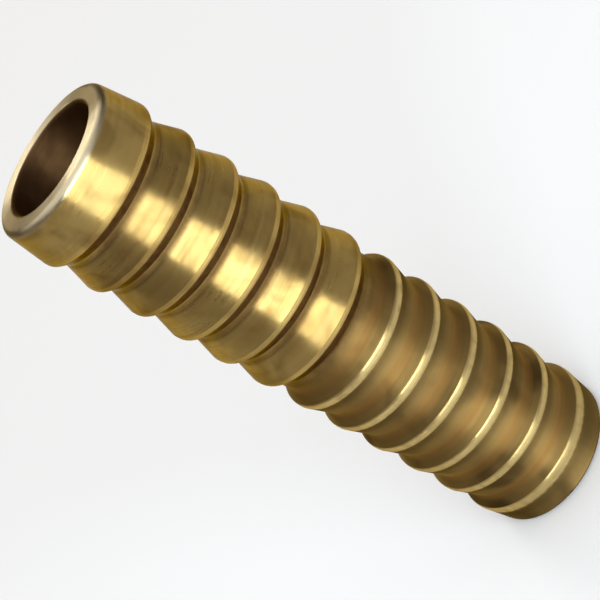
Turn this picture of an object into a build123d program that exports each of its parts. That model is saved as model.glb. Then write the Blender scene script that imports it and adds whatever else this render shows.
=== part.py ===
from build123d import *
import os

# Barbed insert coupling for plain-ended polyethylene pipe, turned from brass bar.
# Z runs along the waterway, and the part stands on one of its two end faces.

LENGTH = 103.6       # face to face
BORE_D = 19.0        # waterway
CREST_D = 27.6       # over the barbs
ROOT_D = 24.5        # foot of each barb, and the plain waist
END_D = 25.8         # end face, before its rim is rounded
BARBS = 6            # on each spigot
UPPER_LEAD = 7.9     # upper end face to the middle of its first crest
LOWER_LEAD = 6.6     # the same on the lower spigot, which is cut a little shorter
PITCH = 8.09         # crest to crest
LAND = 0.8           # flat top of a crest, before its steep edge is rounded
STEP = 1.9           # axial run of the steep side, which faces the waist

RIM_ROUND = 1.2      # outer edge of each end face
MOUTH_ROUND = 0.7    # bore edge of each end face
CREST_ROUND = 1.0    # steep edge of a crest
FOOT_ROUND = 1.5     # bottom of the steep side

bore_r, crest_r, root_r, end_r = BORE_D / 2, CREST_D / 2, ROOT_D / 2, END_D / 2


def spigot(lead):
    """One spigot's corners as (radius, distance from its end face, rounding): a
    shallow ramp up to each crest, then the steep step down that grips the pipe."""
    corners = [(bore_r, 0, MOUTH_ROUND), (end_r, 0, RIM_ROUND)]
    for n in range(BARBS):
        middle = lead + n * PITCH
        corners += [
            (crest_r, middle - LAND / 2, None),
            (crest_r, middle + LAND / 2, CREST_ROUND),
            (root_r, middle + LAND / 2 + STEP, FOOT_ROUND),
        ]
    return corners


# Up the lower spigot, along the waist, and on up the upper one, which is its mirror.
outline = spigot(LOWER_LEAD) + [
    (r, LENGTH - s, rounding) for r, s, rounding in reversed(spigot(UPPER_LEAD))
]

with BuildPart() as coupling:
    with BuildSketch(Plane.XZ) as profile:
        with BuildLine():
            Polyline(*[(r, z) for r, z, _ in outline], close=True)
        make_face()
        for size in (RIM_ROUND, MOUTH_ROUND, CREST_ROUND, FOOT_ROUND):
            places = [Vector(r, z) for r, z, rounding in outline if rounding == size]
            rounded = [
                v for v in profile.vertices()
                if any((Vector(v.X, v.Y) - place).length < 1e-4 for place in places)
            ]
            fillet(rounded, size)
    revolve(axis=Axis.Z)

body = coupling.part.solid()
body.label = "coupling_body"
body.color = Color(0.74, 0.57, 0.27)

os.makedirs("parts", exist_ok=True)
export_step(body, "parts/coupling_body.step")
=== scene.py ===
import bpy
import math
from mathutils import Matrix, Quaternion, Vector

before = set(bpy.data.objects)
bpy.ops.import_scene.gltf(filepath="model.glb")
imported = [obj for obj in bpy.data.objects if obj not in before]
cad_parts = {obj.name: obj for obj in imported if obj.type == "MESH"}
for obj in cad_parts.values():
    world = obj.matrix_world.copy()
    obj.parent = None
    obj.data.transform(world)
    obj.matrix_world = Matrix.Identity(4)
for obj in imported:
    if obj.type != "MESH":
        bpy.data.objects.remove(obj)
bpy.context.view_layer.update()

# ---------------------------------------------------------------- coupling body
# The whole fitting is turned from one bar of brass: barbs that ramp up from each
# end and step down towards a short plain waist, with the waterway bored through.
LENGTH = 0.1036
BORE_R = 0.0095
ROOT_R = 0.01225
CREST_R = 0.0138
WAIST = (0.0500, 0.0525)  # heights between which the finish of one spigot gives way to the other's

YELLOW_BRASS = (0.425, 0.282, 0.090, 1)
DULL_BRASS = (0.275, 0.172, 0.054, 1)
FRESH_CUT = (0.470, 0.345, 0.130, 1)
# Painted shade: the lower spigot's darker brass and its random brown patches.
LOWER_SHADE_BRASS = (0.320, 0.210, 0.070, 1)
LOWER_SHADE_PATCH = (0.130, 0.080, 0.028, 1)
# Painted reflection at the foot of the lower ramps.
FOOT_REFLECTION_ORANGE = (0.400, 0.215, 0.060, 1)
# Painted shade under the lower crests.
UNDER_CREST_SHADE_UMBER = (0.110, 0.066, 0.024, 1)
# Tarnish in the upper grooves, and painted shade there and on the down-facing steps.
TARNISH_AND_SHADE = (0.085, 0.040, 0.014, 1)
# Wear and painted highlight on the lower crests.
RUBBED_AND_HIGHLIT_BRASS = (0.540, 0.400, 0.165, 1)
# Greyer cut of the end faces, and painted highlight round the upper rim.
GREY_CUT_AND_RIM_HIGHLIGHT = (0.560, 0.480, 0.320, 1)
BORE_DARK = (0.200, 0.108, 0.045, 1)
BORE_DARKER = (0.120, 0.060, 0.026, 1)
EDGE_TINT = (0.750, 0.600, 0.360, 1)

LOWER_ROUGHER = 0.34  # the lower spigot is that much duller, except on its rubbed crests
BORE_ROUGHER = 0.30
MARK_DEPTH = 0.00003
WAVE_DEPTH = 0.00012

brass = bpy.data.materials.new("turned_brass")
brass.use_nodes = True
nodes = brass.node_tree.nodes
links = brass.node_tree.links
shader = nodes["Principled BSDF"]


def joined(kind, settings, *sources):
    """A new node of one kind, with its settings made and its inputs joined in order."""
    node = nodes.new(kind)
    for name, value in settings.items():
        setattr(node, name, value)
    for slot, source in enumerate(sources):
        if isinstance(source, (int, float, tuple)):
            node.inputs[slot].default_value = source
        else:
            links.new(source, node.inputs[slot])
    return node.outputs[0]


def times(first, second):
    return joined("ShaderNodeMath", {"operation": "MULTIPLY"}, first, second)


def plus(first, second):
    return joined("ShaderNodeMath", {"operation": "ADD"}, first, second)


def larger(first, second):
    return joined("ShaderNodeMath", {"operation": "MAXIMUM"}, first, second)


def ramped(value, low, high, at_low=0.0, at_high=1.0):
    """A value that goes smoothly from at_low to at_high as its source goes from low to high."""
    return joined(
        "ShaderNodeMapRange", {"interpolation_type": "SMOOTHSTEP"}, value, low, high, at_low, at_high
    )


def mixed(mask, first, second):
    """Two colours, the second where the mask is 1."""
    node = nodes.new("ShaderNodeMix")
    node.data_type = "RGBA"
    for slot, source in (("Factor_Float", mask), ("A_Color", first), ("B_Color", second)):
        socket = next(s for s in node.inputs if s.identifier == slot)
        if isinstance(source, tuple):
            socket.default_value = source
        else:
            links.new(source, socket)
    return next(s for s in node.outputs if s.identifier == "Result_Color")


# Where a point is on the lathe: its distance from the axis, its height, and how far
# its surface faces up the axis.
place = nodes.new("ShaderNodeTexCoord").outputs["Object"]
parts = nodes.new("ShaderNodeSeparateXYZ")
links.new(place, parts.inputs[0])
across, deep, height = parts.outputs
from_axis = nodes.new("ShaderNodeVectorMath")
from_axis.operation = "LENGTH"
links.new(joined("ShaderNodeCombineXYZ", {}, across, deep), from_axis.inputs[0])
radius = from_axis.outputs["Value"]
facing = nodes.new("ShaderNodeSeparateXYZ")
links.new(nodes.new("ShaderNodeNewGeometry").outputs["Normal"], facing.inputs[0])
upward = facing.outputs[2]
lower_spigot = ramped(height, *WAIST, 1.0, 0.0)

# Tool marks run round the part, so they change with radius and height alone, apart
# from a slow drift that breaks them up.
drift = joined("ShaderNodeVectorMath", {"operation": "SCALE"}, place)
drift.node.inputs["Scale"].default_value = 0.02
lathe_place = joined(
    "ShaderNodeVectorMath",
    {"operation": "ADD"},
    joined("ShaderNodeCombineXYZ", {}, radius, 0.0, height),
    drift,
)


def lathe_marks(spacing, detail):
    """Grooves of one spacing that run round the axis."""
    node = nodes.new("ShaderNodeTexNoise")
    node.inputs["Scale"].default_value = 1 / spacing
    node.inputs["Detail"].default_value = detail
    node.inputs["Roughness"].default_value = 0.6
    links.new(lathe_place, node.inputs["Vector"])
    return node.outputs["Fac"]


def blotches(size, detail, distortion):
    """Cloudy spots of one size, the same in every direction."""
    node = nodes.new("ShaderNodeTexNoise")
    node.inputs["Scale"].default_value = 1 / size
    node.inputs["Detail"].default_value = detail
    node.inputs["Distortion"].default_value = distortion
    links.new(place, node.inputs["Vector"])
    return node.outputs["Fac"]


fine_marks = lathe_marks(0.0005, 2.0)
broad_marks = lathe_marks(0.0024, 1.0)
smudges = blotches(0.009, 3.0, 0.6)
specks = blotches(0.0016, 4.0, 0.2)
patches = blotches(0.012, 2.0, 0.4)

# Bright brass with duller smudges and paler streaks where the tool cut last.
dull = ramped(smudges, 0.42, 0.66)
colour = mixed(dull, YELLOW_BRASS, DULL_BRASS)
streaks = ramped(broad_marks, 0.40, 0.65, 0.0, 0.30)
colour = mixed(streaks, colour, FRESH_CUT)

# The lower spigot is painted darker and browner as painted shade, with random brown patches; its
# ramps get a painted orange reflection at their foot and painted shade under its crests.
# Painted shade: the whole lower spigot is darker and browner than the upper one, broken by random
# brown patches.
lower_shade_patches = mixed(ramped(patches, 0.32, 0.55), LOWER_SHADE_PATCH, LOWER_SHADE_BRASS)
colour = mixed(lower_spigot, colour, lower_shade_patches)
# Painted reflection: an orange tint at the foot of each lower ramp.
foot_reflection = times(ramped(radius, ROOT_R + 0.0002, ROOT_R + 0.0008, 0.5, 0.0), lower_spigot)
colour = mixed(foot_reflection, colour, FOOT_REFLECTION_ORANGE)
# Painted shade: darkest on the lower crests' sides that do not face up.
under_crest_shade = times(ramped(radius, CREST_R - 0.0009, CREST_R - 0.0003, 0.0, 0.6), lower_spigot)
under_crest_shade = times(under_crest_shade, ramped(upward, -0.2, 0.1, 1.0, 0.0))
colour = mixed(under_crest_shade, colour, UNDER_CREST_SHADE_UMBER)

# On the upper spigot dark tarnish with painted shade lies in the grooves, and painted shade on the
# steps, which face down.
groove = times(
    ramped(radius, ROOT_R + 0.0001, ROOT_R + 0.0004, 1.0, 0.0), ramped(height, *WAIST, 0.0, 0.85)
)
# Painted shade on the upper steps, which face down.
underside_shade = ramped(upward, -0.34, -0.46, 0.0, 1.0)
tarnish_and_shade = times(larger(groove, underside_shade), ramped(specks, 0.25, 0.6, 1.0, 0.85))
colour = mixed(tarnish_and_shade, colour, TARNISH_AND_SHADE)

# Handling has rubbed the lower crests pale, and their paleness is also a painted highlight. The end
# faces are a greyer cut, round the upper end's rim a painted highlight too, and the bore is darker
# inside.
# Wear and painted highlight: the lower crests are paler where they stand in for the bright bands
# they reflect.
crest = ramped(radius, CREST_R - 0.00020, CREST_R - 0.00008)
rubbed_and_highlit = times(times(crest, lower_spigot), ramped(specks, 0.25, 0.6, 0.7, 1.0))
colour = mixed(rubbed_and_highlit, colour, RUBBED_AND_HIGHLIT_BRASS)
# Greyer cut on the end faces; the wider band at the upper end is a painted highlight round its rim.
cut_and_rim_highlight = larger(
    ramped(height, LENGTH - 0.0012, LENGTH - 0.0006), ramped(height, 0.0, 0.0003, 1.0, 0.0)
)
colour = mixed(cut_and_rim_highlight, colour, GREY_CUT_AND_RIM_HIGHLIGHT)
# Darker inside the bore.
in_bore = ramped(radius, BORE_R + 0.0002, BORE_R + 0.0006, 1.0, 0.0)
colour = mixed(in_bore, colour, mixed(dull, BORE_DARK, BORE_DARKER))
links.new(colour, shader.inputs["Base Color"])

# Finish: brushed round the part, so reflections spread up and down it.
gloss = ramped(smudges, 0.35, 0.7, 0.28, 0.38)
gloss = plus(gloss, ramped(fine_marks, 0.3, 0.7, -0.03, 0.05))
gloss = plus(gloss, ramped(height, *WAIST, LOWER_ROUGHER, 0.0))
gloss = plus(gloss, ramped(rubbed_and_highlit, 0.0, 1.0, 0.0, -LOWER_ROUGHER))
gloss = plus(gloss, ramped(in_bore, 0.0, 1.0, 0.0, BORE_ROUGHER))
links.new(gloss, shader.inputs["Roughness"])
shader.inputs["Metallic"].default_value = 1.0
shader.inputs["Anisotropic"].default_value = 0.85
shader.inputs["Anisotropic Rotation"].default_value = 0.25
shader.inputs["Specular Tint"].default_value = EDGE_TINT
brushed = nodes.new("ShaderNodeTangent")
brushed.direction_type = "RADIAL"
brushed.axis = "Z"
links.new(brushed.outputs["Tangent"], shader.inputs["Tangent"])

cut = nodes.new("ShaderNodeBump")
cut.inputs["Strength"].default_value = 0.5
cut.inputs["Distance"].default_value = MARK_DEPTH
links.new(fine_marks, cut.inputs["Height"])
wavy = nodes.new("ShaderNodeBump")
wavy.inputs["Strength"].default_value = 0.5
wavy.inputs["Distance"].default_value = WAVE_DEPTH
links.new(blotches(0.004, 1.0, 0.0), wavy.inputs["Height"])
links.new(cut.outputs["Normal"], wavy.inputs["Normal"])
links.new(wavy.outputs["Normal"], shader.inputs["Normal"])

body = bpy.data.objects["coupling_body"]
body.data.materials.clear()
body.data.materials.append(brass)

# ------------------------------------------------------------------- the studio
# A plain pale floor under a dim warm room. A wide lamp hangs overhead, a cooler one
# stands beside the camera, and two small ones behind light the upper end face.
FLOOR_WHITE = (0.92, 0.92, 0.92, 1)
ROOM = (0.080, 0.058, 0.036, 1)
OVERHEAD_WHITE = (0.987, 0.992, 1.0)
WINDOW_WHITE = (0.83, 0.92, 1.0)
WHITE = (1.0, 1.0, 1.0)

bpy.ops.mesh.primitive_plane_add(size=4.0, location=(0, 0, 0))
floor = bpy.context.object
floor.name = "floor"
pale = bpy.data.materials.new("pale_floor")
pale.use_nodes = True
floor_shader = pale.node_tree.nodes["Principled BSDF"]
floor_shader.inputs["Base Color"].default_value = FLOOR_WHITE
floor_shader.inputs["Roughness"].default_value = 0.9
floor.data.materials.append(pale)

world = bpy.data.worlds.new("studio")
bpy.context.scene.world = world
world.use_nodes = True
world.node_tree.nodes["Background"].inputs["Color"].default_value = ROOM
world.node_tree.nodes["Background"].inputs["Strength"].default_value = 1.0


def softbox(name, place, aim, width, height, power, colour):
    """A rectangular lamp at one place that faces another."""
    lamp = bpy.data.lights.new(name, "AREA")
    lamp.color = colour
    lamp.shape = "RECTANGLE"
    lamp.size = width
    lamp.size_y = height
    lamp.energy = power
    holder = bpy.data.objects.new(name, lamp)
    bpy.context.collection.objects.link(holder)
    holder.location = place
    holder.rotation_euler = (Vector(aim) - Vector(place)).to_track_quat("-Z", "Y").to_euler()
    holder.visible_camera = False


softbox("overhead", (0, 0.25, 1.5), (0, 0.25, 0), 3.0, 3.0, 31, OVERHEAD_WHITE)
softbox("front", (-0.03, -0.6, 0.28), (-0.03, 0, 0.28), 0.66, 0.48, 6.1, WINDOW_WHITE)
softbox("behind", (0, 1.0, 0.42), (0, 0, 0.1), 0.5, 0.3, 0.28, WHITE)
softbox("back", (0.12, 0.9, 0.85), (0, 0, 0.1), 0.3, 0.3, 2.0, WHITE)

# ------------------------------------------------------------------- the camera
# It looks down on the standing coupling, turned so that the upper end is near
# the upper left corner of the frame.
camera_data = bpy.data.cameras.new("camera")
camera_data.sensor_width = 36.0
camera_data.lens = 106.2
camera = bpy.data.objects.new("camera", camera_data)
bpy.context.collection.objects.link(camera)
camera.location = (0, -0.2495, 0.1838)
watched = Vector((0.0008, 0, 0.0562))
level = (watched - camera.location).to_track_quat("-Z", "Y")
camera.rotation_mode = "QUATERNION"
camera.rotation_quaternion = level @ Quaternion((0, 0, 1), math.radians(-59.36))
bpy.context.scene.camera = camera

bpy.context.scene.view_settings.view_transform = "Standard"
